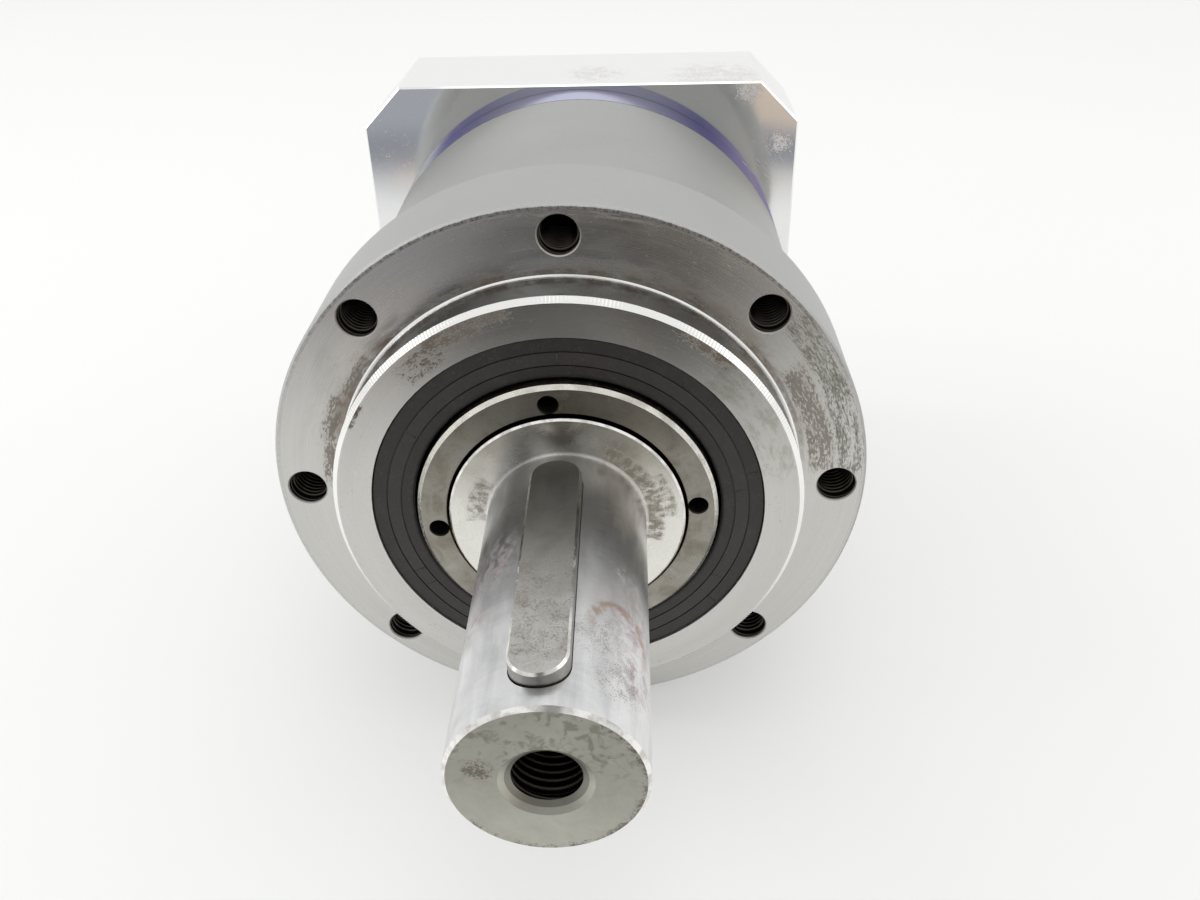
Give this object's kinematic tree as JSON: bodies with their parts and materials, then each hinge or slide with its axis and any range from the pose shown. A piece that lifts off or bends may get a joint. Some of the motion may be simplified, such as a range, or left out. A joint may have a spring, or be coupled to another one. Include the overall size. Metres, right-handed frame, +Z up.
{
  "type": "inline planetary gear reducer",
  "caption": "Inline planetary gear reducer with a keyed output shaft, a round flange with a centring pilot, and a square motor adapter plate with a clamp hub.",
  "frame": {"origin": "centre of the round flange's mounting face, on the shaft axis", "axes": "+X right, +Y along the shaft axis towards the motor side, +Z up; the output shaft points to -Y and its key is on the +Z side, 3 degrees towards -X"},
  "size_m": [0.155, 0.263, 0.155],
  "materials": {
    "blasted_steel": "fine blasted grey body, turned flange face",
    "ground_steel": "ground and stained",
    "turned_steel": "turned",
    "polished_aluminium": "mirror polished",
    "violet_aluminium": "violet anodised",
    "seal_rubber": "dark moulded rubber",
    "bearing_steel": "ground and honed",
    "gear_steel": "ground gear teeth",
    "cage_steel": "pressed",
    "cage_polymer": "moulded polyamide",
    "black_steel": "black oxide",
    "plug_plastic": "moulded"
  },
  "bodies": {
    "housing": {"gear_housing": "blasted_steel", "ring_gear": "gear_steel", "intermediate_flange": "violet_aluminium", "adapter_plate": "polished_aluminium", "output_seal_rubber": "seal_rubber", "output_seal_case": "cage_steel", "output_seal_spring": "bearing_steel", "front_bearing_outer_ring": "bearing_steel", "rear_bearing_outer_ring": "bearing_steel", "input_bearing_outer_ring": "bearing_steel", "input_seal": "seal_rubber", "housing_o_ring": "seal_rubber", "plate_o_ring": "seal_rubber", "flange_screws": "black_steel", "plate_screws": "black_steel"},
    "output_assembly": {"output_shaft": "ground_steel", "parallel_key": "ground_steel", "lock_nut": "turned_steel", "lock_washer": "turned_steel", "front_bearing_inner_ring": "bearing_steel", "bearing_spacer": "turned_steel", "rear_bearing_inner_ring": "bearing_steel", "carrier_plate": "turned_steel", "carrier_screws": "black_steel", "planet_pins": "bearing_steel", "planet_thrust_washers": "cage_steel"},
    "front_roller_set": {"front_bearing_rollers": "bearing_steel", "front_bearing_cage": "cage_steel"},
    "rear_roller_set": {"rear_bearing_rollers": "bearing_steel", "rear_bearing_cage": "cage_steel"},
    "input_assembly": {"sun_gear_shaft": "gear_steel", "input_bearing_inner_ring": "bearing_steel", "input_circlip": "black_steel", "clamp_collar": "turned_steel", "clamp_screw": "black_steel", "motor_shaft_bushing": "turned_steel"},
    "input_ball_set": {"input_bearing_balls": "bearing_steel", "input_bearing_cage": "cage_polymer"},
    "access_plug": {"access_plug": "plug_plastic"},
    "planet_1": {"planet_gear_1": "gear_steel"},
    "needle_set_1": {"planet_needles_1": "bearing_steel"},
    "planet_2": {"planet_gear_2": "gear_steel"},
    "needle_set_2": {"planet_needles_2": "bearing_steel"},
    "planet_3": {"planet_gear_3": "gear_steel"},
    "needle_set_3": {"planet_needles_3": "bearing_steel"}
  },
  "joints": [
    {"name": "output_spin", "type": "hinge", "parent": "housing", "child": "output_assembly", "pos_m": [0, 0, 0], "axis": [0, -1, 0], "continuous": true},
    {"name": "input_spin", "type": "hinge", "parent": "housing", "child": "input_assembly", "pos_m": [0, 0.116, 0], "axis": [0, -1, 0], "continuous": true},
    {"name": "front_roller_orbit", "type": "hinge", "parent": "housing", "child": "front_roller_set", "pos_m": [0, 0.011, 0], "axis": [0, -1, 0], "continuous": true},
    {"name": "rear_roller_orbit", "type": "hinge", "parent": "housing", "child": "rear_roller_set", "pos_m": [0, 0.047, 0], "axis": [0, -1, 0], "continuous": true},
    {"name": "input_ball_orbit", "type": "hinge", "parent": "housing", "child": "input_ball_set", "pos_m": [0, 0.116, 0], "axis": [0, -1, 0], "continuous": true},
    {"name": "planet_1_spin", "type": "hinge", "parent": "output_assembly", "child": "planet_1", "pos_m": [0, 0.083, 0.036], "axis": [0, -1, 0], "continuous": true},
    {"name": "needle_set_1_orbit", "type": "hinge", "parent": "output_assembly", "child": "needle_set_1", "pos_m": [0, 0.083, 0.036], "axis": [0, -1, 0], "continuous": true},
    {"name": "planet_2_spin", "type": "hinge", "parent": "output_assembly", "child": "planet_2", "pos_m": [-0.03118, 0.083, -0.018], "axis": [0, -1, 0], "continuous": true},
    {"name": "needle_set_2_orbit", "type": "hinge", "parent": "output_assembly", "child": "needle_set_2", "pos_m": [-0.03118, 0.083, -0.018], "axis": [0, -1, 0], "continuous": true},
    {"name": "planet_3_spin", "type": "hinge", "parent": "output_assembly", "child": "planet_3", "pos_m": [0.03118, 0.083, -0.018], "axis": [0, -1, 0], "continuous": true},
    {"name": "needle_set_3_orbit", "type": "hinge", "parent": "output_assembly", "child": "needle_set_3", "pos_m": [0.03118, 0.083, -0.018], "axis": [0, -1, 0], "continuous": true},
    {"name": "access_plug_pull", "type": "slide", "parent": "housing", "child": "access_plug", "axis": [1, 0, 0], "range_m": [0, 0.03]}
  ],
  "couplings": [
    {"joint": "input_spin", "follows": "output_spin", "ratio": 4},
    {"joint": "front_roller_orbit", "follows": "output_spin", "ratio": 0.45},
    {"joint": "rear_roller_orbit", "follows": "output_spin", "ratio": 0.45},
    {"joint": "input_ball_orbit", "follows": "output_spin", "ratio": 1.71},
    {"joint": "planet_1_spin", "follows": "output_spin", "ratio": -3},
    {"joint": "needle_set_1_orbit", "follows": "output_spin", "ratio": -1.7647},
    {"joint": "planet_2_spin", "follows": "output_spin", "ratio": -3},
    {"joint": "needle_set_2_orbit", "follows": "output_spin", "ratio": -1.7647},
    {"joint": "planet_3_spin", "follows": "output_spin", "ratio": -3},
    {"joint": "needle_set_3_orbit", "follows": "output_spin", "ratio": -1.7647}
  ]
}
